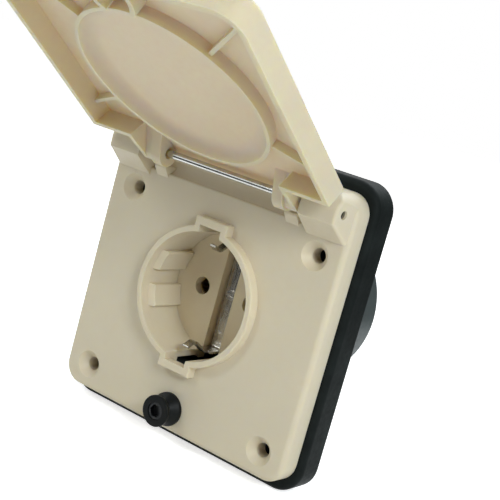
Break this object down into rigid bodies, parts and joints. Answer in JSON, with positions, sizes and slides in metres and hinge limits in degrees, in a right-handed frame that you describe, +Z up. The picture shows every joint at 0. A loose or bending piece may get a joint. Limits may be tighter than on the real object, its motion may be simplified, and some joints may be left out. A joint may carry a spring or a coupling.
{
  "type": "outdoor weatherproof socket",
  "caption": "Flush-mounting weatherproof mains socket: square plate with a hinged lid over a round earthed well, rubber flange gasket and round rear housing.",
  "frame": {"origin": "on the axis of the well and the rear housing, in the plane of the panel that the gasket lies on", "axes": "+Y back through the panel along the rear housing, +Z up with the hinge at the top, +X to the right seen from the front"},
  "size_m": [0.0926, 0.1451, 0.1331],
  "materials": {
    "ivory_plastic": "fine moulded grain, satin",
    "base_plastic": "moulded, matt",
    "grey_plastic": "moulded, satin",
    "black_plastic": "moulded, satin",
    "black_rubber": "smooth moulded rubber",
    "bright_steel": "drawn bright",
    "dark_steel": "blackened",
    "nickel": "nickel-plated, rolled strip",
    "screw_steel": "zinc-plated",
    "brass": "drawn and machined"
  },
  "bodies": {
    "housing": {"front_plate": "ivory_plastic", "contact_base": "base_plastic", "rear_housing": "grey_plastic", "terminal_cover": "grey_plastic", "catch_knob": "black_plastic", "flange_gasket": "black_rubber", "cable_grommet": "black_rubber", "hinge_rod": "bright_steel", "catch_screw": "dark_steel", "earth_bracket": "nickel", "earth_screw": "nickel", "cover_screws": "screw_steel", "base_screws": "screw_steel", "housing_screws": "screw_steel", "live_terminal_screw": "screw_steel", "neutral_terminal_screw": "screw_steel", "earth_terminal_screw": "screw_steel", "live_contact": "brass", "neutral_contact": "brass", "earth_terminal": "brass"},
    "lid": {"lid": "ivory_plastic"}
  },
  "joints": [
    {"name": "lid_hinge", "type": "hinge", "parent": "housing", "child": "lid", "pos_m": [0, -0.021, 0.0383], "axis": [-1, 0, 0], "range_deg": [-123, 47]}
  ]
}
